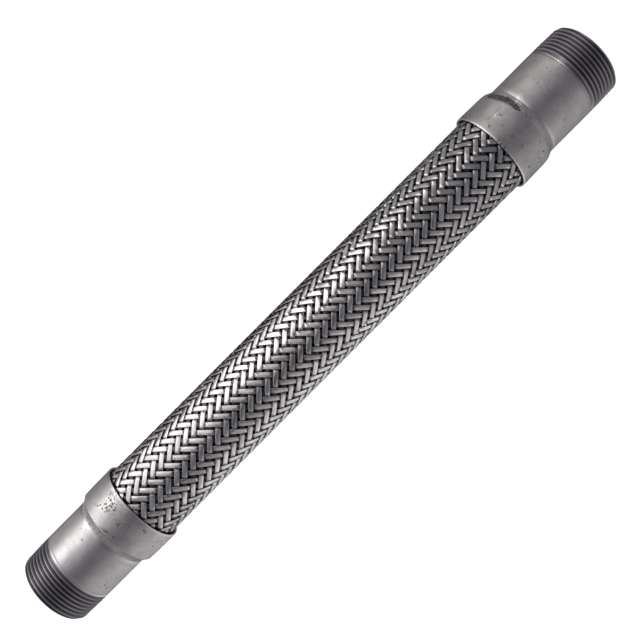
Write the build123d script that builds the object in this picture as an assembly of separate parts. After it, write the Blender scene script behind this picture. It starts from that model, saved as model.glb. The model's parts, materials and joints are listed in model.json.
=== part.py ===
from build123d import *
import os
from math import atan2, cos, pi, sin, sqrt

# Braided metal hose connector, 1-1/4 in, with a male taper pipe thread at each end.
# Axis of the hose = X, origin at the middle of the length on the axis, +Z up. Millimetres.

os.makedirs("parts", exist_ok=True)

# ---- driving dimensions -------------------------------------------------
TOTAL_LEN = 381.0            # end face to end face
HALF = TOTAL_LEN / 2

# pipe nipple, 1-1/4 in schedule 40
PIPE_R = 21.08               # outside radius
PIPE_BORE_R = 17.525         # inside radius
THREAD_PITCH = 25.4 / 11.5   # 11.5 threads per inch
THREAD_LEN = 20.0            # end face to the last scratch of the thread
THREAD_TIP_R = 20.66         # crest radius at the end face
THREAD_TAPER = 1.0 / 32.0    # radius gained per unit of length
THREAD_DEPTH = 1.55          # crest to root
CREST_FLAT = 0.26
ROOT_FLAT = 0.22
END_CHAMFER = 1.0

# braid collars
COLLAR_R = 23.45
COLLAR_BORE_R = 21.70
COLLAR_A_EDGE = -126.5       # edge on the braid side
COLLAR_A_BACK = -144.0       # edge on the nipple side
COLLAR_A_BACK_R = 23.20
COLLAR_B_EDGE = 122.5
COLLAR_B_BACK = 141.0
COLLAR_B_BACK_R = 22.70
COLLAR_LIP = 0.35            # rounded rim on the braid side
MOUTH_R = 22.55              # the bore opens out towards the braid, so the braid can bend off it
MOUTH_LEN = 2.6

# attachment welds: start on the nipple, run up to the collar
WELD_A_TOE = -148.2
WELD_B_TOE = 145.3
PREP_DEPTH = 1.9             # depth of the bevel that the weld fills, from toe to end

# wire braid (envelope of the woven tube)
BRAID_OR = 21.67
BRAID_IR = 20.70

# corrugated hose
HOSE_PITCH = 6.225
HOSE_WALL = 0.30
HOSE_CREST_MID = 20.40       # middle of the wall at a crest
HOSE_ROOT_MID = 16.15        # middle of the wall at a root

# flexing part: hinges stand at roots of the hose, two corrugations apart
N_HINGE = 20
LINK_LEN = 2 * HOSE_PITCH
HINGE_1 = -120.275
BRAID_GAP = 2.10             # between neighbouring braid links, lets each hinge turn 5 degrees
HOSE_GAP = 1.70              # between neighbouring hose links, measured at a root

CAP_T = 1.2                  # thickness of the cap weld

hinges = [HINGE_1 + LINK_LEN * k for k in range(N_HINGE)]


def save(shape, name):
    export_step(shape, f"parts/{name}.step")


def spin(points_or_wire):
    """Solid of revolution about X from a closed outline in the XY plane (x, r)."""
    face = make_face(points_or_wire)
    return revolve(face, Axis.X, 360)


def ring(profile):
    """Solid of revolution from a closed polygon of (x, r) points."""
    pts = [(x, r) for x, r in profile]
    return spin(Polyline(*pts, close=True))


# ---- pipe nipples -------------------------------------------------------
def nipple(back, toe):
    """Nipple with its threaded end face at x = -HALF, its weld bevel from x = toe to its weld end at x = back."""
    prof = []
    x_end = -HALF
    # bore side
    prof += [(back, PIPE_BORE_R), (x_end + 0.5, PIPE_BORE_R), (x_end, PIPE_BORE_R + 0.5)]
    # end chamfer up to the first crest
    prof += [(x_end, THREAD_TIP_R - THREAD_DEPTH + 0.15)]
    half_v = (THREAD_PITCH - CREST_FLAT - ROOT_FLAT) / 2

    def crest(x):
        return min(PIPE_R, THREAD_TIP_R + (x - x_end) * THREAD_TAPER)

    x = x_end + 0.95
    first = True
    while x + THREAD_PITCH < x_end + THREAD_LEN:
        c0 = crest(x)
        # the first crest is cut down by the end chamfer
        if first:
            prof += [(x, c0 - 0.25), (x + CREST_FLAT, c0 - 0.05)]
            first = False
        else:
            prof += [(x, c0), (x + CREST_FLAT, crest(x + CREST_FLAT))]
        xr = x + CREST_FLAT + half_v
        left = x_end + THREAD_LEN - xr
        # the last turns run out: the groove rises towards the plain pipe
        root = THREAD_TIP_R + (xr - x_end) * THREAD_TAPER - THREAD_DEPTH
        if left < 3.2:
            root = max(root, PIPE_R - THREAD_DEPTH * max(0.18, left / 3.6))
        prof += [(xr, root), (xr + ROOT_FLAT, root)]
        x += THREAD_PITCH
    prof += [(x, PIPE_R), (toe, PIPE_R), (back, PIPE_R - PREP_DEPTH)]
    return ring(prof)


# ---- corrugated hose ----------------------------------------------------
ARC = HOSE_PITCH / 4                      # middle radius of crest and root bends
RO = ARC + HOSE_WALL / 2
RI = ARC - HOSE_WALL / 2
CREST_C = HOSE_CREST_MID - ARC            # centre height of a crest bend
ROOT_C = HOSE_ROOT_MID + ARC              # centre height of a root bend


def hose_edges(x0, x1, crests, tail_left=None, tail_right=None):
    """Closed outline of a length of hose wall with crests at the given x.

    x0, x1: ends of the wall, each within a root bend, or the end of a straight tail.
    """
    xs = sorted(crests)

    def root_pt(xc, x, outer):
        """Point of a root bend centred at xc: outer = air side."""
        r = RI if outer else RO
        return (x, ROOT_C - sqrt(max(r * r - (x - xc) ** 2, 0)))

    def side(outer):
        segs = []
        wall = HOSE_WALL / 2 if outer else -HOSE_WALL / 2
        rr = RI if outer else RO          # radius used at root bends
        rc = RO if outer else RI          # radius used at crest bends
        # start
        first_root = xs[0] - HOSE_PITCH / 2
        if tail_left is None:
            p = root_pt(first_root, x0, outer)
            a = (first_root + rr, ROOT_C)
            # arc from p to a about (first_root, ROOT_C)
            a0 = atan2(p[1] - ROOT_C, p[0] - first_root)
            am = (a0 + 0) / 2
            m = (first_root + rr * cos(am), ROOT_C + rr * sin(am))
            segs.append(("arc", p, m, a))
        else:
            rb = ROOT_C - rr
            p = (x0, rb)
            b = (first_root, rb)
            segs.append(("line", p, b))
            a = (first_root + rr, ROOT_C)
            m = (first_root + rr * cos(-pi / 4), ROOT_C + rr * sin(-pi / 4))
            segs.append(("arc", b, m, a))
        for i, xc in enumerate(xs):
            c0 = (xc - rc, CREST_C)
            c1 = (xc + rc, CREST_C)
            segs.append(("line", a, c0))
            segs.append(("arc", c0, (xc, CREST_C + rc), c1))
            nxt = xc + HOSE_PITCH / 2
            d0 = (nxt - rr, ROOT_C)
            segs.append(("line", c1, d0))
            if i < len(xs) - 1:
                d1 = (nxt + rr, ROOT_C)
                segs.append(("arc", d0, (nxt, ROOT_C - rr), d1))
                a = d1
            else:
                if tail_right is None:
                    p1 = root_pt(nxt, x1, outer)
                    a1 = atan2(p1[1] - ROOT_C, p1[0] - nxt)
                    am = (-pi + a1) / 2
                    m = (nxt + rr * cos(am), ROOT_C + rr * sin(am))
                    segs.append(("arc", d0, m, p1))
                else:
                    rb = ROOT_C - rr
                    m = (nxt + rr * cos(-3 * pi / 4), ROOT_C + rr * sin(-3 * pi / 4))
                    segs.append(("arc", d0, m, (nxt, rb)))
                    segs.append(("line", (nxt, rb), (x1, rb)))
        return segs

    top = side(True)
    bot = side(False)
    edges = []
    for s in top + bot:
        if s[0] == "line":
            edges.append(Line(s[1], s[2]))
        else:
            edges.append(ThreePointArc(s[1], s[2], s[3]))
    edges.append(Line(top[0][1], bot[0][1]))
    edges.append(Line(top[-1][-1], bot[-1][-1]))
    return edges


def hose(x0, x1, crests, tail_left=None, tail_right=None):
    w = Wire(hose_edges(x0, x1, crests, tail_left, tail_right))
    return revolve(Face(w), Axis.X, 360)


# ---- write the flexing links -------------------------------------------
for k in range(N_HINGE - 1):
    h0, h1 = hinges[k], hinges[k + 1]
    g = BRAID_GAP / 2
    a, b = h0 + g, h1 - g
    save(ring([(a, BRAID_IR), (a, BRAID_OR), (b, BRAID_OR), (b, BRAID_IR)]), f"braid_{k + 1:02d}")
    g = HOSE_GAP / 2
    save(hose(h0 + g, h1 - g, [h0 + HOSE_PITCH / 2, h0 + 1.5 * HOSE_PITCH]), f"hose_{k + 1:02d}")

# ---- end A (at -X) ------------------------------------------------------
h = hinges[0]
cap_a = COLLAR_A_BACK
save(nipple(cap_a, WELD_A_TOE), "nipple_a")
L = COLLAR_LIP
save(ring([
    (COLLAR_A_BACK, COLLAR_BORE_R), (COLLAR_A_BACK, COLLAR_A_BACK_R), (COLLAR_A_EDGE - 4.0, COLLAR_R),
    (COLLAR_A_EDGE - L, COLLAR_R), (COLLAR_A_EDGE, COLLAR_R - L), (COLLAR_A_EDGE, MOUTH_R),
    (COLLAR_A_EDGE - MOUTH_LEN, COLLAR_BORE_R)]), "collar_a")
save(ring([(cap_a + CAP_T, BRAID_IR), (cap_a + CAP_T, BRAID_OR), (h - BRAID_GAP / 2, BRAID_OR), (h - BRAID_GAP / 2, BRAID_IR)]), "braid_end_a")
crests = [h - HOSE_PITCH / 2, h - 1.5 * HOSE_PITCH, h - 2.5 * HOSE_PITCH]
save(hose(cap_a + CAP_T, h - HOSE_GAP / 2, crests, tail_left=True), "hose_cuff_a")
# cap weld: seals the ends of hose, braid and collar in one ring
save(ring([(cap_a, HOSE_ROOT_MID - HOSE_WALL / 2), (cap_a, BRAID_OR), (cap_a + CAP_T, BRAID_OR), (cap_a + CAP_T, HOSE_ROOT_MID - HOSE_WALL / 2)]), "cap_weld_a")
# attachment weld: fills the bevel of the nipple and rises to the collar
save(ring([
    (WELD_A_TOE, PIPE_R), (COLLAR_A_BACK - 3.2, PIPE_R + 0.42), (COLLAR_A_BACK - 1.9, PIPE_R + 1.05), (COLLAR_A_BACK - 0.7, PIPE_R + 1.85),
    (COLLAR_A_BACK, COLLAR_A_BACK_R), (COLLAR_A_BACK, PIPE_R - PREP_DEPTH)]), "weld_a")

# ---- end B (at +X) ------------------------------------------------------
h = hinges[-1]
cap_b = COLLAR_B_BACK
save(mirror(nipple(-cap_b, -WELD_B_TOE), Plane.YZ), "nipple_b")
save(ring([
    (COLLAR_B_BACK, COLLAR_BORE_R), (COLLAR_B_BACK, COLLAR_B_BACK_R), (COLLAR_B_EDGE + 8.0, COLLAR_R - 0.22), (COLLAR_B_EDGE + 4.0, COLLAR_R),
    (COLLAR_B_EDGE + L, COLLAR_R), (COLLAR_B_EDGE, COLLAR_R - L), (COLLAR_B_EDGE, MOUTH_R),
    (COLLAR_B_EDGE + MOUTH_LEN, COLLAR_BORE_R)]), "collar_b")
save(ring([(cap_b - CAP_T, BRAID_IR), (cap_b - CAP_T, BRAID_OR), (h + BRAID_GAP / 2, BRAID_OR), (h + BRAID_GAP / 2, BRAID_IR)]), "braid_end_b")
crests = [h + HOSE_PITCH / 2, h + 1.5 * HOSE_PITCH, h + 2.5 * HOSE_PITCH]
save(hose(h + HOSE_GAP / 2, cap_b - CAP_T, crests, tail_right=True), "hose_cuff_b")
save(ring([(cap_b, HOSE_ROOT_MID - HOSE_WALL / 2), (cap_b, BRAID_OR), (cap_b - CAP_T, BRAID_OR), (cap_b - CAP_T, HOSE_ROOT_MID - HOSE_WALL / 2)]), "cap_weld_b")
save(ring([
    (WELD_B_TOE, PIPE_R), (COLLAR_B_BACK + 3.0, PIPE_R + 0.35), (COLLAR_B_BACK + 1.7, PIPE_R + 0.85), (COLLAR_B_BACK + 0.6, PIPE_R + 1.35),
    (COLLAR_B_BACK, COLLAR_B_BACK_R), (COLLAR_B_BACK, PIPE_R - PREP_DEPTH)]), "weld_b")
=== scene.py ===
import json
import math

import bpy
import numpy as np
from mathutils import Matrix, Vector

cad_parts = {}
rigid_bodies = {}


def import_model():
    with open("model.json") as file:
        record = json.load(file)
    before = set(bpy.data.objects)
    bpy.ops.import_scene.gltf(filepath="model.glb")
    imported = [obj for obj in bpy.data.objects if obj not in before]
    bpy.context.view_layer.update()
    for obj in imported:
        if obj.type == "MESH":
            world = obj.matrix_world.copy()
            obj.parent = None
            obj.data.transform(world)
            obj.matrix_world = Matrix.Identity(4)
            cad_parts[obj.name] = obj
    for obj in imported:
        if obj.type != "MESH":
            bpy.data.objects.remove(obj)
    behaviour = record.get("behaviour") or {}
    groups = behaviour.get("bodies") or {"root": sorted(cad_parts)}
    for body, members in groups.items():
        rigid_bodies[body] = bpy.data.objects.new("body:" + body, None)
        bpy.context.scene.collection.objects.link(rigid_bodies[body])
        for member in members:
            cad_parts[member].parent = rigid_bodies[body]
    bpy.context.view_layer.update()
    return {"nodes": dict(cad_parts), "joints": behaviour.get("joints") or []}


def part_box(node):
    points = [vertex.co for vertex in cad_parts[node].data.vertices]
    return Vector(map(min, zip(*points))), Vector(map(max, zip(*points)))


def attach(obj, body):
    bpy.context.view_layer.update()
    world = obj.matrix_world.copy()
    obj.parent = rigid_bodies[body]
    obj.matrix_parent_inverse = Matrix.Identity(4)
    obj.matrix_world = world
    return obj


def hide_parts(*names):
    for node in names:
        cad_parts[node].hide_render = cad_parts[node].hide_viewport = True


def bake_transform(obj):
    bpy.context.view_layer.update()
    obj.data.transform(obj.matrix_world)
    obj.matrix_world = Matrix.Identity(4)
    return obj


# Looks of a braided metal hose connector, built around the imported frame. Metres in Blender, millimetres in the code.

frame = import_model()
MM = 0.001
RNG = np.random.default_rng(7)

# ---------------------------------------------------------------- frame facts
JOINTS = frame["joints"]
ORDER = ["end_a"] + [f"link_{k:02d}" for k in range(1, 20)] + ["end_b"]
HINGE = []
for a, b in zip(ORDER[:-1], ORDER[1:]):
    j = [q for q in JOINTS if q["parent"] == a and q["child"] == b][0]
    HINGE.append(j["pos_m"][0] * 1000.0)
HINGE = np.array(HINGE)
MID = (HINGE[:-1] + HINGE[1:]) / 2          # middle of each link, 19 of them
# The braid and the hose are cut at the middle of each link into pieces that each span one hinge. At hinge 6 the two
# neighbouring pieces lap instead of spanning it: with every hinge at its limit a piece bent across that one comes
# apart.
LAPPED = 6
TURNED = (2, 4, 8, 10)                      # listed for bending from the far body back to the near one; flex bakes them like the rest


def flex_spans(x0, x1, lap):
    """(piece number, from x, to x) of the pieces from x0 to x1."""
    stops = [x0] + list(MID) + [x1]
    out = []
    for p in range(20):
        if p == LAPPED:
            continue
        lo = HINGE[LAPPED] - lap if p == LAPPED + 1 else stops[p]
        hi = HINGE[LAPPED] + lap if p == LAPPED - 1 else stops[p + 1]
        out.append((p, float(lo), float(hi)))
    return out


def flex(ob, p, stem):
    """Bakes piece p's transform and says which CAD pieces it stands for."""
    if p in TURNED:
        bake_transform(ob)
    else:
        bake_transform(ob)
    names = [f"{stem}_{p:02d}"] if p else []
    if p == LAPPED - 1:
        names.append(f"{stem}_{LAPPED:02d}")
    return names


def span(node):
    lo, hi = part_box(node)
    return lo[0] * 1000.0, hi[0] * 1000.0


X_END_A = span("nipple_a")[0]
X_END_B = span("nipple_b")[1]
WELD_A = span("weld_a")                     # toe, collar
WELD_B = span("weld_b")                     # collar, toe
COL_A = span("collar_a")                    # back, edge
COL_B = span("collar_b")                    # edge, back
CUFF_A = span("braid_end_a")
CUFF_B = span("braid_end_b")

PIPE_R = 21.08
BORE_R = 17.525
PITCH = 25.4 / 11.5
T_TIP, T_TAPER, T_DEPTH = 20.66, 1 / 32.0, 1.50     # thread: crest radius at the end face, taper, depth


# ---------------------------------------------------------------- mesh helpers
def make_object(name, verts, faces, material, smooth=True, normals=None, uv=None):
    """verts in mm. normals: one per loop. uv: one per loop, in a map named OFBake."""
    me = bpy.data.meshes.new(name)
    verts = np.asarray(verts, float) * MM
    me.from_pydata(verts.tolist(), [], [list(map(int, f)) for f in faces])
    me.materials.append(material)
    if smooth:
        me.polygons.foreach_set("use_smooth", np.ones(len(me.polygons), bool))
    if uv is not None:
        layer = me.uv_layers.new(name="OFBake")
        layer.data.foreach_set("uv", np.asarray(uv, np.float32).ravel())
    if normals is not None:
        me.normals_split_custom_set([tuple(n) for n in normals])
    me.update()
    ob = bpy.data.objects.new(name, me)
    bpy.context.scene.collection.objects.link(ob)
    return ob


def smoothstep(t):
    t = np.clip(t, 0, 1)
    return t * t * (3 - 2 * t)


def hash01(*ints):
    """Repeatable value in 0..1 from integers."""
    h = 0
    for i in ints:
        h = (h * 1000003 + int(i) * 7919 + 12345) & 0xFFFFFFFF
        h ^= (h >> 13)
        h = (h * 0x5BD1E995) & 0xFFFFFFFF
        h ^= (h >> 15)
    return (h & 0xFFFFFF) / float(0xFFFFFF)


# ---------------------------------------------------------------- materials
def new_mat(name):
    m = bpy.data.materials.new(name)
    m.use_nodes = True
    nt = m.node_tree
    nt.nodes.clear()
    out = nt.nodes.new("ShaderNodeOutputMaterial")
    bs = nt.nodes.new("ShaderNodeBsdfPrincipled")
    nt.links.new(bs.outputs[0], out.inputs[0])
    return m, nt, bs


def N(nt, kind, **kw):
    n = nt.nodes.new(kind)
    for k, v in kw.items():
        if k in n.inputs:
            n.inputs[k].default_value = v
        else:
            setattr(n, k, v)
    return n


def ramp(nt, fac, stops):
    r = nt.nodes.new("ShaderNodeValToRGB")
    el = r.color_ramp.elements
    while len(el) > 1:
        el.remove(el[-1])
    first = True
    for pos, col in stops:
        if not isinstance(col, (tuple, list)):
            col = (col, col, col)
        if first:
            e = el[0]
            e.position = pos
            first = False
        else:
            e = el.new(pos)
        e.color = (*col, 1)
    nt.links.new(fac, r.inputs[0])
    return r.outputs[0]


def mix(nt, a, b, fac, mode="MIX"):
    n = nt.nodes.new("ShaderNodeMix")
    n.data_type = "RGBA"
    n.blend_type = mode
    for sock, val in ((n.inputs[0], fac), (n.inputs[6], a), (n.inputs[7], b)):
        if hasattr(val, "links"):
            nt.links.new(val, sock)
        elif isinstance(val, (int, float)):
            sock.default_value = val if sock.type == "VALUE" else (val, val, val, 1)
        else:
            sock.default_value = (*val, 1)
    return n.outputs[2]


def math_node(nt, op, a, b=None, c=None, clamp=False):
    n = nt.nodes.new("ShaderNodeMath")
    n.operation = op
    n.use_clamp = clamp
    for sock, val in zip(n.inputs, (a, b, c)):
        if val is None:
            continue
        if hasattr(val, "links"):
            nt.links.new(val, sock)
        else:
            sock.default_value = val
    return n.outputs[0]


def near(nt, coord, spots):
    """0..1 mask: 1 at each spot's centre, 0 beyond its radius. A spot is x mm, degrees from straight up towards +Y,
    the radius it lies at, and its own size."""
    out = None
    for (x, th, rad, size) in spots:
        p = (x * MM, rad * MM * math.sin(math.radians(th)), rad * MM * math.cos(math.radians(th)))
        d = N(nt, "ShaderNodeVectorMath")
        d.operation = "DISTANCE"
        nt.links.new(coord, d.inputs[0])
        d.inputs[1].default_value = p
        m = math_node(nt, "SUBTRACT", 1.0, math_node(nt, "DIVIDE", d.outputs["Value"], size * MM), clamp=True)
        out = m if out is None else math_node(nt, "MAXIMUM", out, m)
    return out


def steel(name, base=(0.50, 0.49, 0.485), rough=0.40, pit_scale=420.0, pit_amount=0.5, scratch=0.35, bump=0.25, aniso=0.7,
          stains=(), scuffs=(), shaded_gouges=(), thread=None, edges=None, seam=None, grain=1.0):
    """Blasted or turned stainless steel: mottled tone, fine rings, scattered pits, stains and scuffs."""
    m, nt, bs = new_mat(name)
    tc = N(nt, "ShaderNodeTexCoord")
    P = tc.outputs["Object"]
    sep = N(nt, "ShaderNodeSeparateXYZ")
    nt.links.new(P, sep.inputs[0])
    n1 = N(nt, "ShaderNodeTexNoise", Scale=150.0, Detail=5.0, Roughness=0.6)
    nt.links.new(P, n1.inputs["Vector"])
    n2 = N(nt, "ShaderNodeTexNoise", Scale=1100.0, Detail=4.0, Roughness=0.65)
    nt.links.new(P, n2.inputs["Vector"])
    # turning marks: noise squeezed so that it runs round the part
    mp = N(nt, "ShaderNodeMapping")
    mp.inputs["Scale"].default_value = (2600.0, 40.0, 40.0)
    nt.links.new(P, mp.inputs[0])
    n3 = N(nt, "ShaderNodeTexNoise", Scale=1.0, Detail=3.0, Roughness=0.6)
    nt.links.new(mp.outputs[0], n3.inputs["Vector"])
    # pits
    vo = N(nt, "ShaderNodeTexVoronoi", Scale=pit_scale)
    vo.feature = "F1"
    nt.links.new(P, vo.inputs["Vector"])
    vn = N(nt, "ShaderNodeTexNoise", Scale=70.0, Detail=2.0)
    nt.links.new(P, vn.inputs["Vector"])
    rare = ramp(nt, vn.outputs["Fac"], [(0.0, 0.0), (0.50, 0.0), (0.66, 1.0), (1.0, 1.0)])
    size = math_node(nt, "MULTIPLY", rare, 0.34)
    soft = math_node(nt, "SUBTRACT", size, vo.outputs["Distance"])
    soft = math_node(nt, "MULTIPLY", soft, 6.0, clamp=True)
    # patches of close pitting
    if stains:
        sp = N(nt, "ShaderNodeTexNoise", Scale=820.0, Detail=4.0, Roughness=0.72)
        nt.links.new(P, sp.inputs["Vector"])
        where = math_node(nt, "POWER", near(nt, P, stains), 0.6)
        lift = math_node(nt, "ADD", sp.outputs["Fac"], math_node(nt, "MULTIPLY", math_node(nt, "SUBTRACT", where, 1.0), 0.22))
        spots = ramp(nt, lift, [(0.46, 0.0), (0.53, 1.0)])
        spots = math_node(nt, "MULTIPLY", spots, math_node(nt, "MULTIPLY", where, 1.6, clamp=True))
        soft = math_node(nt, "MAXIMUM", soft, spots)
    b0 = np.array(base)
    c1 = ramp(nt, n1.outputs["Fac"], [(0.30, tuple(b0 * (1 - 0.13 * grain))), (0.50, tuple(b0)), (0.70, tuple(np.minimum(b0 * (1 + 0.12 * grain), 1)))])
    c2 = mix(nt, c1, tuple(b0 * 0.74), math_node(nt, "MULTIPLY", ramp(nt, n2.outputs["Fac"], [(0.45, 0.0), (0.70, 1.0)]), 0.5 * grain))
    if thread is not None:
        # threads: darker from the run-out to the end, and darker still towards the roots, which is painted shade
        tb = math_node(nt, "DIVIDE", math_node(nt, "SUBTRACT", sep.outputs[0], thread[1] * MM), 2.0 * MM, clamp=True)
        ta = math_node(nt, "DIVIDE", math_node(nt, "SUBTRACT", thread[0] * MM, sep.outputs[0]), 1.6 * MM, clamp=True)
        tm = math_node(nt, "MAXIMUM", ta, tb)
        # painted shade: how deep below the tapered line of crests
        rad = math_node(nt, "SQRT", math_node(nt, "ADD", math_node(nt, "MULTIPLY", sep.outputs[1], sep.outputs[1]), math_node(nt, "MULTIPLY", sep.outputs[2], sep.outputs[2])))
        crest = math_node(nt, "MULTIPLY_ADD", math_node(nt, "SUBTRACT", X_END_B * MM, math_node(nt, "ABSOLUTE", sep.outputs[0])), T_TAPER, T_TIP * MM)
        root_shade = math_node(nt, "DIVIDE", math_node(nt, "SUBTRACT", crest, rad), T_DEPTH * MM, clamp=True)
        thread_tone_and_shade = mix(nt, (b0[0] * 0.72, b0[1] * 0.71, b0[2] * 0.76), (b0[0] * 0.26, b0[1] * 0.255, b0[2] * 0.29), root_shade)
        c2 = mix(nt, c2, thread_tone_and_shade, tm)
    if edges is not None:
        # painted highlight: a near-white band round each collar lip stands in for the bright rim where it catches the
        # light
        lip_highlight = None
        for e in edges:
            d = math_node(nt, "ABSOLUTE", math_node(nt, "SUBTRACT", sep.outputs[0], e * MM))
            d = math_node(nt, "SUBTRACT", 1.6, math_node(nt, "DIVIDE", d, 0.55 * MM), clamp=True)
            lip_highlight = d if lip_highlight is None else math_node(nt, "MAXIMUM", lip_highlight, d)
        c2 = mix(nt, c2, (0.80, 0.78, 0.77), math_node(nt, "MULTIPLY", lip_highlight, 0.6))
    if scuffs:
        sm = near(nt, P, scuffs)
        sn = ramp(nt, n2.outputs["Fac"], [(0.42, 0.0), (0.56, 1.0)])
        c2 = mix(nt, c2, (0.86, 0.84, 0.82), math_node(nt, "MULTIPLY", math_node(nt, "MULTIPLY", sm, sn), 0.9))
    c3 = mix(nt, c2, tuple(b0 * 0.22), math_node(nt, "MULTIPLY", soft, pit_amount))
    if shaded_gouges:
        # gouges and undercut: painted shade, near-black with a ragged edge
        gouge_mask = math_node(nt, "ADD", near(nt, P, shaded_gouges), math_node(nt, "MULTIPLY", math_node(nt, "SUBTRACT", n2.outputs["Fac"], 0.5), 0.55))
        gouge_mask = ramp(nt, gouge_mask, [(0.16, 0.0), (0.46, 1.0)])
        c3 = mix(nt, c3, (0.035, 0.033, 0.038), math_node(nt, "MULTIPLY", gouge_mask, ramp(nt, n2.outputs["Fac"], [(0.35, 0.55), (0.62, 0.95)])))
    if seam is not None:
        x0, x1, th = seam
        ct, st = math.cos(math.radians(th)), math.sin(math.radians(th))
        d = math_node(nt, "ABSOLUTE", math_node(nt, "SUBTRACT", math_node(nt, "MULTIPLY", sep.outputs[1], ct), math_node(nt, "MULTIPLY", sep.outputs[2], st)))
        ln = math_node(nt, "SUBTRACT", 1.0, math_node(nt, "DIVIDE", d, 0.70 * MM), clamp=True)
        ln = math_node(nt, "MULTIPLY", ln, math_node(nt, "GREATER_THAN", sep.outputs[2], 0.0))
        ln = math_node(nt, "MULTIPLY", ln, math_node(nt, "GREATER_THAN", sep.outputs[0], x0 * MM))
        ln = math_node(nt, "MULTIPLY", ln, math_node(nt, "LESS_THAN", sep.outputs[0], x1 * MM))
        c3 = mix(nt, c3, tuple(b0 * 0.40), math_node(nt, "MULTIPLY", ln, 0.45))
    nt.links.new(c3, bs.inputs["Base Color"])
    bs.inputs["Metallic"].default_value = 1.0
    r1 = ramp(nt, n3.outputs["Fac"], [(0.3, rough - 0.05), (0.7, rough + 0.07)])
    r2 = mix(nt, r1, min(rough + 0.25, 0.9), math_node(nt, "MULTIPLY", soft, 0.8))
    nt.links.new(r2, bs.inputs["Roughness"])
    h = math_node(nt, "MULTIPLY", n3.outputs["Fac"], scratch)
    h = math_node(nt, "ADD", h, math_node(nt, "MULTIPLY", n2.outputs["Fac"], 0.55))
    h = math_node(nt, "SUBTRACT", h, math_node(nt, "MULTIPLY", soft, 1.2))
    if shaded_gouges:
        h = math_node(nt, "SUBTRACT", h, math_node(nt, "MULTIPLY", gouge_mask, 1.5))
    if seam is not None:
        h = math_node(nt, "SUBTRACT", h, math_node(nt, "MULTIPLY", ln, 1.0))
    bp = N(nt, "ShaderNodeBump", Strength=bump, Distance=0.00012)
    nt.links.new(h, bp.inputs["Height"])
    nt.links.new(bp.outputs[0], bs.inputs["Normal"])
    # turning marks run round the part, so gloss spreads along it
    bs.inputs["Anisotropic"].default_value = aniso
    bs.inputs["Anisotropic Rotation"].default_value = 0.25
    tg = N(nt, "ShaderNodeTangent")
    tg.direction_type = "RADIAL"
    tg.axis = "X"
    nt.links.new(tg.outputs[0], bs.inputs["Tangent"])
    return m


def wire_mat(name, base=(0.62, 0.61, 0.60), rough=0.30):
    m, nt, bs = new_mat(name)
    tc = N(nt, "ShaderNodeTexCoord")
    at = N(nt, "ShaderNodeAttribute", attribute_name="wire_tone_and_shade", attribute_type="GEOMETRY")
    n1 = N(nt, "ShaderNodeTexNoise", Scale=260.0, Detail=3.0, Roughness=0.6)
    nt.links.new(tc.outputs["Object"], n1.inputs["Vector"])
    n2 = N(nt, "ShaderNodeTexNoise", Scale=3000.0, Detail=2.0, Roughness=0.6)
    nt.links.new(tc.outputs["Object"], n2.inputs["Vector"])
    b0 = np.array(base)
    c1 = ramp(nt, n1.outputs["Fac"], [(0.30, tuple(b0 * 0.86)), (0.70, tuple(np.minimum(b0 * 1.08, 1)))])
    # the attribute holds each strand's own tone times painted shade in the weave's hollows, on its edges and underneath
    c2 = mix(nt, c1, at.outputs["Fac"], 1.0, "MULTIPLY")
    nt.links.new(c2, bs.inputs["Base Color"])
    bs.inputs["Metallic"].default_value = 1.0
    r = ramp(nt, n1.outputs["Fac"], [(0.3, rough - 0.04), (0.7, rough + 0.08)])
    nt.links.new(r, bs.inputs["Roughness"])
    bp = N(nt, "ShaderNodeBump", Strength=0.12, Distance=0.00005)
    nt.links.new(n2.outputs["Fac"], bp.inputs["Height"])
    nt.links.new(bp.outputs[0], bs.inputs["Normal"])
    return m


EA, EB = COL_A[1], COL_B[0]


def at_px(t, w, rad, size):
    """Places a mark by its distance along the picture of the connector and across it, in half-millimetre units."""
    x = X_END_A + (t + 397) * (EA - X_END_A) / 131 if t < 0 else EB + (t - 248.5) * (X_END_B - EB) / 140.5
    return (x, -math.degrees(math.asin(max(-1.0, min(1.0, 0.51 * w / rad)))), rad, size)


GOUGE_B = [at_px(t, w, 22.5, r) for t, w, r in
           ((283.4, -39, 1.9), (284.2, -37, 2.5), (285.0, -35, 2.8), (285.7, -33, 3.0), (286.4, -31, 3.1), (287.0, -29, 3.2), (287.6, -27, 3.3),
            (288.1, -25, 3.3), (288.5, -23, 3.2), (288.6, -21, 3.1), (288.5, -19, 2.9), (288.1, -17, 2.6), (287.5, -15, 2.3), (287.0, -13, 1.9),
            (286.8, -11, 1.5), (286.9, -9, 1.1))]
GOUGE_A = [at_px(t, w, 22.3, r) for t, w, r in
           ((-299.6, -9, 1.2), (-299.1, -7, 1.5), (-298.6, -5, 1.6), (-298.1, -3, 1.5), (-297.6, -1, 1.3), (-297.1, 2, 1.3), (-296.8, 4, 1.5),
            (-296.6, 6, 1.3))]
M_NIPPLE = steel("nipple_steel", base=(0.505, 0.493, 0.512), rough=0.37, aniso=0.55, thread=(X_END_A + 18.0, X_END_B - 20.6),
                 stains=[at_px(303, -16, 21.1, 1.6), at_px(321, -26, 21.1, 1.2), at_px(322, -2, 21.1, 1.4), at_px(318, 13, 21.1, 1.3),
                         at_px(316, 28, 21.1, 1.5), at_px(313, 32, 21.1, 1.3), at_px(358, 1, 20.6, 1.6), at_px(-322, -8, 21.1, 1.4)],
                 scuffs=[at_px(351, -15, 20.9, 3.6), at_px(298, -18, 21.1, 3.0), at_px(-301, 2, 21.1, 1.5)])
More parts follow.
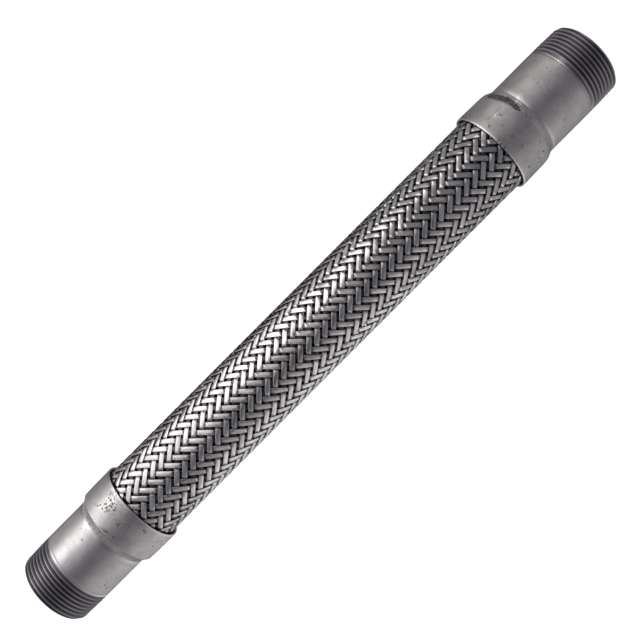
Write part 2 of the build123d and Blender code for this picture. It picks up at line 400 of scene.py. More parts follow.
M_COLLAR = steel("collar_steel", base=(0.485, 0.474, 0.492), rough=0.40, aniso=0.5, pit_amount=0.85, bump=0.4, edges=(EA, EB),
                 seam=(EB + (260 - 248.5) * 0.45, EB + (281 - 248.5) * 0.45, math.degrees(math.asin(0.51 * 24 / 23.3))), grain=1.2,
                 stains=[at_px(-280, -18, 23.3, 6.5), at_px(-272, -24, 23.3, 4.5), at_px(-284, -2, 23.3, 4.0), at_px(-274, 20, 23.3, 2.5),
                         at_px(257, -19, 23.3, 2.6), at_px(271, -19, 23.3, 2.4), at_px(263, 3, 23.3, 3.2), at_px(266, -11, 23.3, 2.4),
                         at_px(264, 17, 23.3, 2.4), at_px(259, 36, 23.3, 2.4), at_px(273, 39, 23.3, 2.2)],
                 scuffs=[at_px(-277, -22, 23.3, 4.0), at_px(268, -22, 23.3, 2.5)], shaded_gouges=GOUGE_A + GOUGE_B)
M_WELD = steel("weld_steel", base=(0.47, 0.459, 0.475), rough=0.38, pit_amount=0.8, scratch=0.8, bump=0.5, aniso=0.4, grain=1.4,
               stains=[at_px(286, -25, 22.3, 6.5), at_px(289, -14, 22.0, 4.0), at_px(287, 0, 22.2, 4.5), at_px(-298, -3, 22.0, 4.0),
                       at_px(-297, -20, 22.4, 2.5)],
               scuffs=[at_px(-294, 0, 22.6, 1.5), at_px(292, -18, 21.6, 2.2)], shaded_gouges=GOUGE_A + GOUGE_B)
# the hose under the braid is painted near-black: painted shade seen through the holes of the weave
M_HOSE_PAINTED_SHADE = steel("hose_steel_painted_shade", base=(0.075, 0.073, 0.08), rough=0.35, pit_amount=0.1)
M_BRAID = wire_mat("braid_wire", base=(0.57, 0.556, 0.582), rough=0.15)


# ---------------------------------------------------------------- woven braid
N_STRAND = 24                     # strands in each direction
WIRES = 7
ALPHA = math.radians(44.5)        # angle of a strand to the axis
R_BRAID = 21.20                   # middle of the woven wall
AMP = 0.235                       # how far a strand rises and dips
WIRE_D = 0.345
WIRE_TILT = math.radians(13)      # how far a wire's side turns away at its neighbour
LEAD = 2 * math.pi * 21.235 / math.tan(ALPHA)
AX = LEAD / N_STRAND              # axial distance between strands of one family
CIRC = 2 * math.pi * 21.235 / N_STRAND
RIB_W = WIRES * WIRE_D
RIB_C = RIB_W / math.cos(ALPHA)   # its width measured round the tube
X_PHASE = 0.0                     # slides the pattern along the axis
ROT = math.radians(1.4)           # turns the pattern about the axis

B_X0, B_X1 = CUFF_A[0], CUFF_B[1]


def weave(a, b):
    """Over/under of the first family at lattice place (a, b): +1 where it is on top. Rows of floats run along the axis."""
    def at(i, j):
        return np.where(np.mod(i + j + 2, 4) < 2, 1.0, -1.0)
    i0, j0 = np.floor(a), np.floor(b)
    fa, fb = a - i0, b - j0
    tw = 0.50
    wa = smoothstep((fa - 0.5) / tw + 0.5)
    wb = smoothstep((fb - 0.5) / tw + 0.5)
    f00, f10 = at(i0, j0), at(i0 + 1, j0)
    f01, f11 = at(i0, j0 + 1), at(i0 + 1, j0 + 1)
    return (f00 * (1 - wa) + f10 * wa) * (1 - wb) + (f01 * (1 - wa) + f11 * wa) * wb


def strand_grid(fam, i, xs):
    """Surface of one strand: rows along xs, columns round its section. fam +1 or -1."""
    # section: ridged top, flat bottom
    top_v, top_h = [], []
    for k in range(WIRES):
        v0 = -RIB_W / 2 + k * WIRE_D
        top_v += [v0, v0 + WIRE_D / 2]
        top_h += [0.02 if k else -0.04, WIRE_D / 2]
    top_v.append(RIB_W / 2)
    top_h.append(-0.04)
    bot_v = [RIB_W / 2 - 0.08, 0.0, -RIB_W / 2 + 0.08]
    bot_h = [-WIRE_D / 2, -WIRE_D / 2, -WIRE_D / 2]
    v = np.array(top_v + bot_v)            # across the strand, mm
    h = np.array(top_h + bot_h)
    n = len(v)
    X = np.repeat(xs[:, None], n, 1)
    slope = 2 * math.pi / LEAD * fam       # radians per mm
    # each strand wanders a little
    wob = 0.09 * np.sin(xs * 0.061 + 6.28 * hash01(fam + 5, i, 1)) + 0.05 * np.sin(xs * 0.173 + 6.28 * hash01(fam + 5, i, 2))
    th0 = i * 2 * math.pi / N_STRAND + ROT
    vc = v / math.cos(ALPHA) / R_BRAID
    TH = th0 + slope * (X - X_PHASE) + (wob / R_BRAID)[:, None] + vc[None, :]
    # lattice coordinates: a counts family +1 strands, b counts family -1 strands
    u = (X - X_PHASE) / AX
    w = (TH - ROT) * N_STRAND / (2 * math.pi)
    a = w - u
    b = w + u
    # a float arches over the two strands it crosses
    F = (0.78 * weave(a, b) + 0.22 * np.cos((a + b - 0.5) * math.pi / 2) * math.sqrt(2) * np.cos(0.0)) * fam
    # long floats crown slightly, and each strand leans a little to one side
    along = (b if fam > 0 else a)
    lean = 0.075 * np.sin(along * 0.9 + 6.28 * hash01(fam + 5, i, 3)) + 0.045 * np.sin(along * 2.3 + 6.28 * hash01(fam + 5, i, 4))
    H = h[None, :] + AMP * F + lean * (v[None, :] / (RIB_W / 2)) * np.where(h[None, :] > -1, 1, 1)
    crown = 0.07
    H = H + crown * np.cos((v[None, :] / (RIB_W / 2)) * math.pi / 2)
    R = R_BRAID + H
    R0 = R - h[None, :]
    return X, R * np.sin(TH), R * np.cos(TH), R0 * np.sin(TH), R0 * np.cos(TH), len(top_v), F


def strand_samples(fam, i, x0, x1, stops):
    """x places along one strand: dense where it dips or rises, sparse on its floats, with every stop included."""
    th0 = i + 0.0
    # a strand of family +1 has a = i, and b runs: b = a + 2u  -> u = (b - i) / 2
    # a strand of family -1 has b = i, and a runs: a = b - 2u  -> u = (i - a) / 2
    out = set()
    u0, u1 = (x0 - X_PHASE) / AX, (x1 - X_PHASE) / AX
    if fam > 0:
        lo, hi = i + 2 * u0, i + 2 * u1
    else:
        lo, hi = i - 2 * u1, i - 2 * u0
    c = math.floor(lo) - 1
    while c < hi + 1:
        # boundary between crossings c and c+1
        change = ((i + c + 2) % 4 < 2) != ((i + c + 3) % 4 < 2)
        mid = c + 0.5
        offs = (-0.27, -0.19, -0.12, -0.05, 0.05, 0.12, 0.19, 0.27) if change else (0.0,)
        for o in offs:
            s = mid + o
            u = (s - i) / 2 if fam > 0 else (i - s) / 2
            out.add(round(u * AX + X_PHASE, 4))
        c += 1
    xs = sorted(x for x in out if x0 < x < x1)
    keep = [x for x in xs if all(abs(x - s) > 0.06 for s in stops)]
    return np.array(sorted(keep + [s for s in stops if x0 <= s <= x1]))


def wire_normals(X, Y0, Z0, ntop):
    """Normals of each column for the face on its left and on its right: every wire shades as a round one, with a
    crease between neighbours."""
    n = X.shape[1]
    P = np.stack([X, Y0, Z0], -1)
    along = np.gradient(P, axis=0)
    across = np.gradient(P[:, :ntop], axis=1)
    N0 = np.cross(along[:, :ntop], across)
    rad = np.stack([np.zeros_like(Y0), Y0, Z0], -1)
    rad /= np.linalg.norm(rad, axis=-1, keepdims=True)
    N0 *= np.sign((N0 * rad[:, :ntop]).sum(-1, keepdims=True))
    N0 /= np.linalg.norm(N0, axis=-1, keepdims=True)
    V = across - (across * N0).sum(-1, keepdims=True) * N0
    V /= np.linalg.norm(V, axis=-1, keepdims=True)
    nL, nR = np.zeros((X.shape[0], n, 3)), np.zeros((X.shape[0], n, 3))
    for c in range(ntop):
        valley = c % 2 == 0
        tl = WIRE_TILT if valley else 0.0
        if c == ntop - 1:
            tl = math.radians(38)
        tr = -WIRE_TILT if valley else 0.0
        if c == 0:
            tr = -math.radians(38)
        nL[:, c] = N0[:, c] * math.cos(tl) + V[:, c] * math.sin(tl)
        nR[:, c] = N0[:, c] * math.cos(tr) + V[:, c] * math.sin(tr)
    nL[:, 0], nR[:, ntop - 1] = -V[:, 0], V[:, ntop - 1]
    nL[:, ntop:], nR[:, ntop:] = -rad[:, ntop:], -rad[:, ntop:]
    return nL, nR


def build_braid():
    lap = 1.0
    spans = flex_spans(B_X0, B_X1, lap)
    stops = sorted({B_X0, B_X1, *(float(m) for m in MID), HINGE[LAPPED] - lap, HINGE[LAPPED] + lap})
    pieces = [dict(v=[], f=[], n=[], uv=[], tone=[], count=0) for _ in spans]
    for fam in (1, -1):
        for i in range(N_STRAND):
            xs = strand_samples(fam, i, B_X0, B_X1, stops)
            X, Y, Z, Y0, Z0, ntop, F = strand_grid(fam, i, xs)
            nL, nR = wire_normals(X, Y0, Z0, ntop)
            cols = X.shape[1]
            tone = 0.86 + 0.2 * hash01(fam + 9, i, 11) + 0.05 * np.sin(xs * 0.11 + 6.28 * hash01(fam + 9, i, 12))
            for q, (p, lo, hi) in enumerate(spans):
                i0 = int(np.argmin(np.abs(xs - lo)))
                i1 = int(np.argmin(np.abs(xs - hi)))
                rows = i1 - i0 + 1
                P = pieces[q]
                base = P["count"]
                pts = np.stack([X[i0:i1 + 1], Y[i0:i1 + 1], Z[i0:i1 + 1]], -1).reshape(-1, 3)
                if p == LAPPED + 1:        # its lap is tucked under the other piece
                    pts[:, 1:] *= 1 - 0.003 * smoothstep((HINGE[LAPPED] + lap + 0.4 - pts[:, :1]) / 0.6)
                gL, gR = nL[i0:i1 + 1].reshape(-1, 3), nR[i0:i1 + 1].reshape(-1, 3)
                P["v"].append(pts)
                # painted shade: a strand is darker where it dips under its neighbours
                low = 0.08 + 0.92 * smoothstep((F[i0:i1 + 1] + 0.60) / 1.20)
                # painted shade on each strand's edge wires and on its underside
                low[:, [0, ntop - 1]] *= 0.38
                low[:, ntop:] *= 0.15
                P["tone"].append((tone[i0:i1 + 1][:, None] * low).ravel())
                r = np.arange(rows - 1)[:, None]
                c = np.arange(cols)[None, :]
                c2 = (c + 1) % cols
                A = r * cols + c
                B = r * cols + c2
                C = (r + 1) * cols + c2
                D = (r + 1) * cols + c
                quads = np.stack([A, B, C, D], -1).reshape(-1, 4)
                nn = np.stack([gR[quads[:, 0]], gL[quads[:, 1]], gL[quads[:, 2]], gR[quads[:, 3]]], 1)
                P["f"].append(("q", base, quads[:, ::-1], nn[:, ::-1].reshape(-1, 3)))
                # end caps
                for row, sgn in ((0, -1.0), (rows - 1, 1.0)):
                    loop = row * cols + np.arange(cols)
                    # orientation so that the cap faces along sgn * X
                    q0, q1, q2 = pts[loop[0]], pts[loop[cols // 3]], pts[loop[2 * cols // 3]]
                    area = np.zeros(3)
                    ring = pts[loop]
                    nxt = np.roll(ring, -1, 0)
                    area = np.cross(ring, nxt).sum(0)
                    if area[0] * sgn < 0:
                        loop = loop[::-1]
                    P["f"].append(("c", base, loop[None, :], np.array([sgn, 0, 0])))
                P["count"] += len(pts)
    objs = []
    for (p, _, _), P in zip(spans, pieces):
        verts = np.concatenate(P["v"])
        tone = np.concatenate(P["tone"])
        faces, normals, uvs = [], [], []
        strand = -1
        for kind, base, f, nn in P["f"]:
            if kind == "q":
                strand += 1
                faces += (f + base).tolist()
                normals.append(nn)
                # each strand is a strip of the square
                cols = 2 * WIRES + 4
                row = f // cols
                col = f % cols
                nrow = row.max()
                wrap = (col.max(1) == cols - 1) & (col.min(1) == 0)
                cc = col.astype(float)
                cc[wrap] = np.where(cc[wrap] == 0, cols, cc[wrap])
                su = (strand % 12 + 0.03 + 0.94 * row / nrow) / 12.0
                sv = (strand // 12 + 0.03 + 0.90 * cc / cols) / 4.0
                uvs.append(np.stack([su, sv], -1).reshape(-1, 2))
            else:
                faces += (f + base).tolist()
                normals.append(np.repeat(nn[None, :], f.shape[1], 0))
                uvs.append(np.tile(np.array([[(strand % 12 + 0.985) / 12.0, (strand // 12 + 0.965) / 4.0]]), (f.shape[1], 1))
                           + 0.0008 * np.stack([np.cos(np.arange(f.shape[1])), np.sin(np.arange(f.shape[1]))], -1))
        ob = make_object(f"braid_weave_{p:02d}", verts, faces, M_BRAID, True,
                         np.concatenate(normals), np.concatenate(uvs))
        at = ob.data.attributes.new("wire_tone_and_shade", "FLOAT", "POINT")
        at.data.foreach_set("value", tone.astype(np.float32))
        names = flex(ob, p, "braid") or ["braid_end_a"]
        if p == 19:
            names.append("braid_end_b")
        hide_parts(*names)
        objs.append(ob)
    return objs


# ---------------------------------------------------------------- corrugated hose
H_PITCH = 6.225
H_WALL = 0.30
H_CREST = 20.40
H_ROOT = 16.15


def hose_profile(x0, x1, wall, tail0=None, tail1=None):
    """Points (x, r) of one side of the hose wall from x0 to x1. wall: +half on the outside, -half on the inside.
    Roots stand at the hinges and every corrugation between them. tail0/tail1: x up to which the wall is a straight tube."""
    a = H_PITCH / 4
    cc, rc = H_CREST - a, H_ROOT + a
    ro, ri = a + wall, a - wall
    pts = []
    k0 = math.floor((x0 - HINGE[0]) / H_PITCH) - 1
    k1 = math.ceil((x1 - HINGE[0]) / H_PITCH) + 1
    for k in range(int(k0), int(k1) + 1):
        xr = HINGE[0] + k * H_PITCH          # a root
        for s in np.linspace(-90, 90, 9):    # along the root bend
            t = math.radians(s)
            pts.append((xr + ri * math.sin(t), rc - ri * math.cos(t)))
        xc = xr + H_PITCH / 2
        for s in np.linspace(-90, 90, 11):
            t = math.radians(s)
            pts.append((xc + ro * math.sin(t), cc + ro * math.cos(t)))
    pts = np.array(pts)
    low = H_ROOT + wall
    out = []
    # straight tails
    if tail0 is not None:
        pts = pts[pts[:, 0] > tail0]
        out.append((x0, low))
    if tail1 is not None:
        pts = pts[pts[:, 0] < tail1]
    inside = [tuple(q) for q in pts if x0 + 1e-6 < q[0] < x1 - 1e-6]

    def at(x):
        i = np.searchsorted(pts[:, 0], x)
        i = min(max(i, 1), len(pts) - 1)
        t = (x - pts[i - 1, 0]) / max(pts[i, 0] - pts[i - 1, 0], 1e-9)
        return (x, pts[i - 1, 1] + t * (pts[i, 1] - pts[i - 1, 1]))
    if tail0 is None:
        out.append(at(x0))
    out += inside
    if tail1 is None:
        out.append(at(x1))
    else:
        out.append((x1, low))
    return out


def lathe(name, profile, material, seg=96, closed=True, close_ends=False, uvbox=None):
    """Solid of revolution about X from an outline of (x, r) points, going once round the outline."""
    prof = np.array(profile, float)
    n = len(prof)
    th = np.arange(seg) / seg * 2 * math.pi
    X = np.repeat(prof[:, 0][:, None], seg, 1)
    Y = prof[:, 1][:, None] * np.sin(th)[None, :]
    Z = prof[:, 1][:, None] * np.cos(th)[None, :]
    verts = np.stack([X, Y, Z], -1).reshape(-1, 3)
    faces = []
    last = n if closed else n - 1
    for i in range(last):
        j = (i + 1) % n
        for k in range(seg):
            k2 = (k + 1) % seg
            faces.append((i * seg + k, i * seg + k2, j * seg + k2, j * seg + k))
    # make the faces look outwards: the signed area of the outline says which way round it goes
    x, r = prof[:, 0], prof[:, 1]
    area = 0.5 * np.sum(x * np.roll(r, -1) - np.roll(x, -1) * r)
    if area > 0:
        faces = [f[::-1] for f in faces]
    return verts, faces


def sharp_by_angle(ob, deg):
    """Smooth shading with edges sharper than deg kept crisp."""
    me = ob.data
    import bmesh
    bm = bmesh.new()
    bm.from_mesh(me)
    lim = math.radians(deg)
    for e in bm.edges:
        e.smooth = not (len(e.link_faces) == 2 and e.calc_face_angle(0) > lim)
    bm.to_mesh(me)
    bm.free()


def build_hose():
    x0, x1 = span("hose_cuff_a")[0], span("hose_cuff_b")[1]
    for p, lo, hi in flex_spans(x0, x1, 0.8):
        t0 = HINGE[0] - 3 * H_PITCH if p == 0 else None
        t1 = HINGE[19] + 3 * H_PITCH if p == 19 else None
        outer = hose_profile(lo, hi, H_WALL / 2, t0, t1)
        inner = hose_profile(lo, hi, -H_WALL / 2, t0, t1)
        v, f = lathe("h", outer + inner[::-1], M_HOSE_PAINTED_SHADE, seg=72)
        ob = make_object(f"hose_wall_{p:02d}", v, f, M_HOSE_PAINTED_SHADE, True)
        sharp_by_angle(ob, 60)
        if p == LAPPED + 1:
            for v in ob.data.vertices:
                if v.co.x < (HINGE[LAPPED] + 0.81) * MM:
                    v.co.y *= 0.997
                    v.co.z *= 0.997
        names = flex(ob, p, "hose") or ["hose_cuff_a"]
        if p == 19:
            names.append("hose_cuff_b")
        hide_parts(*names)


# ---------------------------------------------------------------- threaded nipples
def nipple_mesh(sign, x_end, x_toe, x_back, nick=None, phase=0.0):
    """Outer skin on a sheared grid whose lines follow the right-hand helix. Built for the -X end, mirrored for +X with the
    helix sense kept right-handed. Returns verts, faces."""
    L = abs(x_back - x_end)
    toe = abs(x_toe - x_end)
    tip_r, taper, depth = T_TIP, T_TAPER, T_DEPTH
    seg = 176
    # places within one pitch: crest flat, flank, root, flank
    us = np.array([0.0, 0.06, 0.12, 0.20, 0.30, 0.40, 0.47, 0.53, 0.58, 0.66, 0.76, 0.86, 0.94])
    nu = len(us)

    def shape(u):
        """0 at a crest, 1 at a root, for u in 0..1."""
        u = np.mod(u, 1.0)
        cf, rf = 0.14, 0.12
        d = np.abs(u - 0.5) * 2            # 1 at crest centre, 0 at root centre
        v = np.clip((1 - cf - d) / (1 - cf - rf), 0, 1)
        # soften the corners a little
        return v * v * (3 - 2 * v) * 0.25 + v * 0.75

    turns = 9.6
    n_lines = int(math.ceil((turns + 2) * nu))
    th = np.arange(seg) / seg * 2 * math.pi
    # distance from the end face
    k = np.arange(-2 * nu, n_lines)
    frac = np.floor(k / nu) + us[np.mod(k, nu)]
    D = PITCH * (frac[:, None] + sign * th[None, :] / (2 * math.pi) + phase)
    s_end, s_stop = 0.0, 21.6
    U = D / PITCH - phase - sign * th[None, :] / (2 * math.pi)   # phase within the pitch, before clamping
    Dc = np.clip(D, s_end, s_stop)
    Uc = Dc / PITCH - phase - sign * th[None, :] / (2 * math.pi)
    crest = np.minimum(PIPE_R, tip_r + Dc * taper)
    root = tip_r + Dc * taper - depth
    # run-out: the die's lead lifts the groove out of the pipe over the last turns
    lift = smoothstep((Dc - 15.4) / 5.0)
    root = root + (PIPE_R + 0.05 - root) * lift
    g = shape(Uc)
    r = crest + (np.minimum(root, crest) - crest) * g
    # chamfer at the end face
    cham = (tip_r - depth + 0.10) + Dc * 1.15
    r = np.minimum(r, cham)
    # small irregularities of a cut thread
    r = r - 0.035 * (0.5 + 0.5 * np.sin(th[None, :] * 3 + Dc * 1.7)) * (g < 0.15)
    if nick is not None:
        n_th, n_d, n_w, n_l, n_depth = nick
        dth = (th[None, :] - n_th + math.pi) % (2 * math.pi) - math.pi
        q = np.exp(-(dth * PIPE_R / n_w) ** 2 - ((Dc - n_d) / n_l) ** 2)
        r = r - n_depth * q * (r > (crest - 1.0))
    grid_x = Dc
    verts = []
    rows = D.shape[0]
    V = np.stack([grid_x, r * np.sin(th)[None, :], r * np.cos(th)[None, :]], -1)
    verts = V.reshape(-1, 3)
    faces = []
    idx = lambda a, b: a * seg + b
    for a in range(rows - 1):
        for b in range(seg):
            if b < seg - 1:
                q = (idx(a, b), idx(a, b + 1), idx(a + 1, b + 1), idx(a + 1, b))
            else:
                # after a full turn, line a meets line a + nu (or a - nu)
                a2 = a + nu * sign
                if a2 < 0 or a2 + 1 >= rows:
                    continue
                q = (idx(a, b), idx(a2, 0), idx(a2 + 1, 0), idx(a + 1, b))
            d = [verts[i][0] for i in q]
            if max(d) <= s_end + 1e-9 or min(d) >= s_stop - 1e-9:
                continue
            faces.append(q)
    verts = list(map(tuple, verts))

    # plain barrel, weld bevel, end, bore and end face as rings joined on
    def add_ring(x, rr):
        base = len(verts)
        for t in th:
            verts.append((x, rr * math.sin(t), rr * math.cos(t)))
        return base

    def join(b0, b1):
        for c in range(seg):
            c2 = (c + 1) % seg
            faces.append((b0 + c, b0 + c2, b1 + c2, b1 + c))

    rings = [(s_stop, PIPE_R)]
    m = 10
    for q in range(1, m + 1):
        rings.append((s_stop + (toe - s_stop) * q / m, PIPE_R))
    rings.append((L, PIPE_R - 1.9))
    rings.append((L, BORE_R))
    for q in range(1, 9):
        rings.append((L + (0.5 - L) * q / 8, BORE_R))
    rings.append((0.0, BORE_R + 0.5))
    rings.append((0.0, tip_r - depth + 0.10))
    prev = None
    for x, rr in rings:
        b = add_ring(x, rr)
        if prev is not None:
            join(prev, b)
        prev = b
    verts = np.array(verts)
    return verts, faces, seg


def build_nipple(name, sign_x, x_end, x_toe, x_back, node, body, nick, phase):
    import bmesh
    # a right-hand helix climbs along +X as it turns from +Y to -Z; d measured inwards flips that at each end
    v, f, seg = nipple_mesh(-sign_x, x_end, x_toe, x_back, nick, phase)
    v = v.copy()
    v[:, 0] = x_end - sign_x * v[:, 0]
    me = bpy.data.meshes.new(name)
    me.from_pydata((v * MM).tolist(), [], [tuple(int(q) for q in ff) for ff in f])
    bm = bmesh.new()
    bm.from_mesh(me)
    bmesh.ops.remove_doubles(bm, verts=bm.verts, dist=2e-7)
    bmesh.ops.dissolve_degenerate(bm, dist=1e-7, edges=bm.edges)
    loose = [q for q in bm.verts if not q.link_faces]
    bmesh.ops.delete(bm, geom=loose, context="VERTS")
    bmesh.ops.recalc_face_normals(bm, faces=bm.faces)
    lim = math.radians(32)
    for fc in bm.faces:
        fc.smooth = True
    for e in bm.edges:
        e.smooth = not (len(e.link_faces) == 2 and e.calc_face_angle(0) > lim)
    bm.to_mesh(me)
    bm.free()
    me.materials.append(M_NIPPLE)
    ob = bpy.data.objects.new(name, me)
    bpy.context.scene.collection.objects.link(ob)
    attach(ob, body)
    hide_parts(node)
    return ob


build_braid()
build_hose()
build_nipple("nipple_skin_a", -1, X_END_A, WELD_A[0], WELD_A[1], "nipple_a", "end_a", None, 0.10)
build_nipple("nipple_skin_b", 1, X_END_B, WELD_B[1], WELD_B[0], "nipple_b", "end_b", None, 0.35)


# ---------------------------------------------------------------- collars and welds
def rough_lathe(name, profile, material, seg, body, node, disp=None, sharp=35):
    v, f = lathe(name, profile, material, seg=seg)
    if disp is not None:
        v = disp(v)
    ob = make_object(name, v, f, material, True)
    sharp_by_angle(ob, sharp)
    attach(ob, body)
    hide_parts(node)
    return ob


def arc(cx, cr, r, a0, a1, n):
    return [(cx + r * math.cos(math.radians(t)), cr + r * math.sin(math.radians(t))) for t in np.linspace(a0, a1, n)]


def refine(points, step):
    """Adds points along straight runs so that later displacement has something to move."""
    out = []
    for (x0, r0), (x1, r1) in zip(points, points[1:] + points[:1]):
        n = max(1, int(math.ceil(math.hypot(x1 - x0, r1 - r0) / step)))
        for q in range(n):
            out.append((x0 + (x1 - x0) * q / n, r0 + (r1 - r0) * q / n))
    return out


def wave(seed, th, xs, amp, modes=(2, 3, 5, 8), fx=0.12):
    out = np.zeros(np.broadcast(th, xs).shape)
    for k, m in enumerate(modes):
        out = out + amp / (k + 1) * np.sin(m * th + fx * (k + 1) * xs + 6.28 * hash01(seed, k))
    return out


def dent(v, amp, seed, r_min):
    """A collar that was rolled and crimped isn't perfectly round."""
    r = np.hypot(v[:, 1], v[:, 2])
    th = np.arctan2(v[:, 1], v[:, 2])
    dr = wave(seed, th, v[:, 0], amp)
    dr = np.where(r > r_min, dr, 0.0)
    s = (r + dr) / r
    out = v.copy()
    out[:, 1] *= s
    out[:, 2] *= s
    return out


ea, eb = COL_A[1], COL_B[0]
ba, bb = COL_A[0], COL_B[1]
col_a = ([(ba, 21.70), (ba, 23.17)] + [(ba + 2.2, 23.27), (ba + 6, 23.36), (ea - 4, 23.43), (ea - 1.2, 23.45)]
         + [(ea - 0.36, 23.42), (ea - 0.12, 23.32), (ea - 0.02, 23.14), (ea - 0.03, 22.86), (ea - 0.14, 22.66), (ea - 0.4, 22.48), (ea - 2.6, 21.72)])
rough_lathe("collar_skin_a", refine(col_a, 1.1), M_COLLAR, 160, "end_a", "collar_a", lambda v: dent(v, 0.035, 3, 23.0))
col_b = ([(bb, 21.70), (bb, 22.62)] + [(bb - 2.0, 22.98), (bb - 5.0, 23.13), (bb - 9.0, 23.22), (eb + 6.5, 23.34), (eb + 3.5, 23.43), (eb + 1.2, 23.45)]
         + [(eb + 0.36, 23.42), (eb + 0.12, 23.32), (eb + 0.02, 23.14), (eb + 0.03, 22.86), (eb + 0.14, 22.66), (eb + 0.4, 22.48), (eb + 2.6, 21.72)])
rough_lathe("collar_skin_b", refine(col_b, 1.1), M_COLLAR, 160, "end_b", "collar_b", lambda v: dent(v, 0.035, 9, 22.5))

# cap welds stay inside: a plain ring each
for nd, body in (("cap_weld_a", "end_a"), ("cap_weld_b", "end_b")):
    o = frame["nodes"][nd]
    for s in o.material_slots:
        s.material = M_WELD


def weld_skin(name, toe, back, r_back, body, node, seed, blob=None):
    """Bead that rises from the pipe to the collar: a shallow hollow at the toe, ripples round the ring."""
    sg = 1 if toe < back else -1
    L = abs(back - toe)
    prof = []
    for t in np.linspace(0, 1, 15):
        rise = (r_back - PIPE_R) * (0.72 * t ** 2.0 + 0.28 * t * t * (3 - 2 * t))
        prof.append((toe + sg * t * L, PIPE_R + rise + 0.01))
    prof.append((back, PIPE_R - 1.9))
    prof = prof + [(toe + sg * q * L, PIPE_R - 1.9 * q) for q in (0.66, 0.33)]

    def disp(v):
        r = np.hypot(v[:, 1], v[:, 2])
        th = np.arctan2(v[:, 1], v[:, 2])
        t = np.abs(v[:, 0] - toe) / L
        env = np.sin(np.clip(t, 0, 1) * math.pi) ** 0.8
        on = (r > PIPE_R + 0.0)
        rip = 0.05 * np.sin(th * 46 + 3.0 * np.sin(th * 3) + t * 2.2)
        low = wave(seed, th, v[:, 0], 0.07, (1, 2, 4, 7))
        dr = (rip + low) * env
        if blob is not None:
            for (bt, bw, bx, bl, ba_) in blob:
                dth = (th - bt + math.pi) % (2 * math.pi) - math.pi
                dr = dr + ba_ * np.exp(-(dth * PIPE_R / bw) ** 2 - ((t - bx) / bl) ** 2)
        dr = np.where(on, dr, 0)
        s = (r + dr) / r
        out = v.copy()
        out[:, 1] *= s
        out[:, 2] *= s
        return out
    return rough_lathe(name, prof, M_WELD, 240, body, node, disp, 50)


weld_skin("weld_bead_a", WELD_A[0], WELD_A[1], 23.17, "end_a", "weld_a", 21,
          blob=[(0.10, 3.2, 0.72, 0.22, -0.40), (0.42, 2.2, 0.80, 0.16, -0.25)])
weld_skin("weld_bead_b", WELD_B[1], WELD_B[0], 22.62, "end_b", "weld_b", 33,
          blob=[(0.64, 4.2, 0.72, 0.30, -0.55), (0.40, 2.4, 0.45, 0.22, -0.40), (0.05, 4.0, 0.60, 0.25, -0.25), (0.30, 1.6, 0.15, 0.16, 0.22)])

# ---------------------------------------------------------------- stage, light, camera
FLOOR_Z = -178.0                  # clear of the connector where its limits bend the free end down


def stage_plane():
    me = bpy.data.meshes.new("floor")
    s, z = 6.0, FLOOR_Z * MM
    me.from_pydata([(-s, -s, z), (s, -s, z), (s, s, z), (-s, s, z)], [], [(0, 1, 2, 3)])
    m, nt, bs = new_mat("floor")
    bs.inputs["Base Color"].default_value = (0.30, 0.30, 0.30, 1)
    bs.inputs["Roughness"].default_value = 0.9
    # a white light table: evenly bright, far below the connector
    bs.inputs["Emission Color"].default_value = (1.0, 1.0, 1.0, 1)
    bs.inputs["Emission Strength"].default_value = 0.97
    me.materials.append(m)
    ob = bpy.data.objects.new("floor", me)
    bpy.context.scene.collection.objects.link(ob)
    ob.visible_glossy = False      # polished steel mirrors the studio's dark and light panels instead


stage_plane()

world = bpy.data.worlds.new("world")
bpy.context.scene.world = world
world.use_nodes = True
wt = world.node_tree
bg = wt.nodes["Background"]
# a dark studio: brightness by the angle from straight up, towards -Y (positive) or +Y (negative)
wtc = wt.nodes.new("ShaderNodeTexCoord")
wsep = wt.nodes.new("ShaderNodeSeparateXYZ")
wt.links.new(wtc.outputs["Generated"], wsep.inputs[0])
ang = math_node(wt, "ARCTAN2", math_node(wt, "MULTIPLY", wsep.outputs[1], -1.0), wsep.outputs[2])
pos = math_node(wt, "ADD", math_node(wt, "MULTIPLY", ang, 1 / (2 * math.pi)), 0.5)


def deg(a):
    return 0.5 + a / 360.0


WORLD_MID = [(-180, 0.30), (-164, 0.16), (-150, 0.06), (-122, 0.08), (-106, 0.18), (-94, 0.50), (-82, 1.45), (-50, 1.65), (-26, 1.50),
             (-15, 0.80), (-7, 0.14), (0, 0.06), (11, 0.05), (22, 0.08), (34, 0.22), (46, 0.44), (58, 0.74), (71, 0.98), (85, 1.18),
             (101, 1.32), (121, 1.35), (140, 1.10), (160, 0.42), (180, 0.30)]
WORLD_END = [(-180, 0.32), (-160, 0.28), (-140, 0.42), (-121, 0.55), (-101, 0.60), (-88, 0.60), (-80, 0.74), (-58, 0.72), (-45, 0.56),
             (-34, 0.44), (-22, 0.36), (-11, 0.32), (0, 0.29), (11, 0.25), (22, 0.24), (34, 0.28), (46, 0.34), (58, 0.41), (71, 0.47),
             (85, 0.50), (101, 0.49), (121, 0.43), (140, 0.35), (157, 0.28), (180, 0.32)]


def tint(a, v):
    """Dark panels are cool, bright ones warm."""
    k = max(0.0, min(1.0, (v - 0.22) / 0.35))
    c = np.array([0.99, 0.965, 1.06]) * (1 - k) + np.array([1.03, 0.996, 0.955]) * k
    return tuple(v * c)


wmid = ramp(wt, pos, [(deg(a), tint(a, v)) for a, v in WORLD_MID])
wend = ramp(wt, pos, [(deg(a), tint(a, v)) for a, v in WORLD_END])
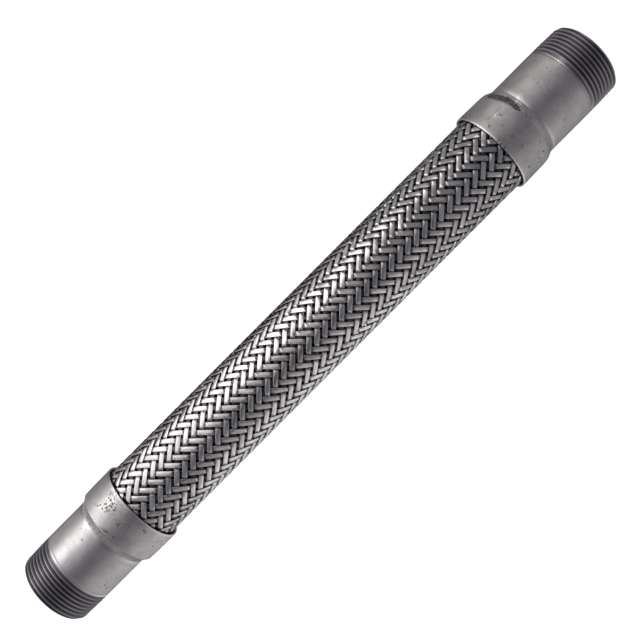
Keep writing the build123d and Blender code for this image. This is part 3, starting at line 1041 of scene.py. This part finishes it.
# contrast is strongest over the middle; the studio is a little darker towards +X
xs_off = math_node(wt, "ABSOLUTE", math_node(wt, "ADD", wsep.outputs[0], 0.09))
ends = ramp(wt, xs_off, [(0.0, 0.0), (0.12, 0.0), (0.27, 1.0), (1.0, 1.0)])
wcol = mix(wt, wmid, wend, ends)
side_up = math_node(wt, "MULTIPLY_ADD", wsep.outputs[0], 0.5, 0.5)
gy = ramp(wt, side_up, [(0.0, 0.95), (0.12, 1.05), (0.28, 1.28), (0.50, 1.0), (0.66, 0.60), (0.74, 0.50), (0.90, 0.95), (1.0, 0.95)])
gn = ramp(wt, side_up, [(0.0, 1.10), (0.12, 1.10), (0.28, 1.06), (0.50, 1.0), (0.70, 0.94), (0.78, 0.85), (0.90, 1.05), (1.0, 1.10)])
toward = ramp(wt, pos, [(deg(-20), 0.0), (deg(20), 1.0)])
lit = mix(wt, wcol, mix(wt, gy, gn, toward), 1.0, "MULTIPLY")
# beyond the floor's far edge the backdrop is as white as the floor
lp = wt.nodes.new("ShaderNodeLightPath")
wt.links.new(mix(wt, lit, (1.0, 1.0, 1.0), lp.outputs["Is Camera Ray"]), bg.inputs[0])
bg.inputs[1].default_value = 1.0


def area(name, loc, target, size, size_y, radiance, color=(1, 1, 1), glossy=True, shape="RECTANGLE"):
    li = bpy.data.lights.new(name, "AREA")
    li.shape = shape
    li.size, li.size_y = size, size_y
    li.energy = radiance * math.pi * size * size_y * (math.pi / 4 if shape == "ELLIPSE" else 1.0)
    li.color = color
    ob = bpy.data.objects.new(name, li)
    d = Vector(target) - Vector(loc)
    ob.location = loc
    ob.rotation_euler = d.to_track_quat("-Z", "Y").to_euler()
    ob.visible_glossy = glossy
    bpy.context.scene.collection.objects.link(ob)
    return ob


# the camera looks down on the connector; +Y is towards the upper left of its picture
area("key", (-0.27, 0.62, 0.36), (-0.10, 0, 0), 0.70, 0.42, 1.45, (1.0, 0.985, 0.955))

CAM_F = 45.0
CAM_POS = (0.00825, 0.0, 0.4065)
CAM_TARGET = (0.00235, 0.00134, 0.0)
CAM_ROLL = 0.069


def camera():
    cd = bpy.data.cameras.new("cam")
    cd.lens = CAM_F
    cd.sensor_width = 36.0
    cd.clip_start = 0.01
    cam = bpy.data.objects.new("cam", cd)
    bpy.context.scene.collection.objects.link(cam)
    pos = Vector(CAM_POS)
    tgt = Vector(CAM_TARGET)
    back = (pos - tgt).normalized()
    # +X of the object points to the upper right of the picture, at 45 degrees
    ax = Vector((1, 0, 0))
    ax = (ax - back * ax.dot(back)).normalized()
    side = back.cross(ax)                  # picture direction at +90 degrees from ax
    t = math.radians(45.0 + CAM_ROLL)
    right = math.cos(t) * ax - math.sin(t) * side
    up = math.sin(t) * ax + math.cos(t) * side
    rot = Matrix((right, up, back)).transposed()
    cam.matrix_world = Matrix.Translation(pos) @ rot.to_4x4()
    bpy.context.scene.camera = cam
    return cam


camera()
bpy.context.scene.view_settings.view_transform = "Standard"
bpy.context.scene.view_settings.look = "None"
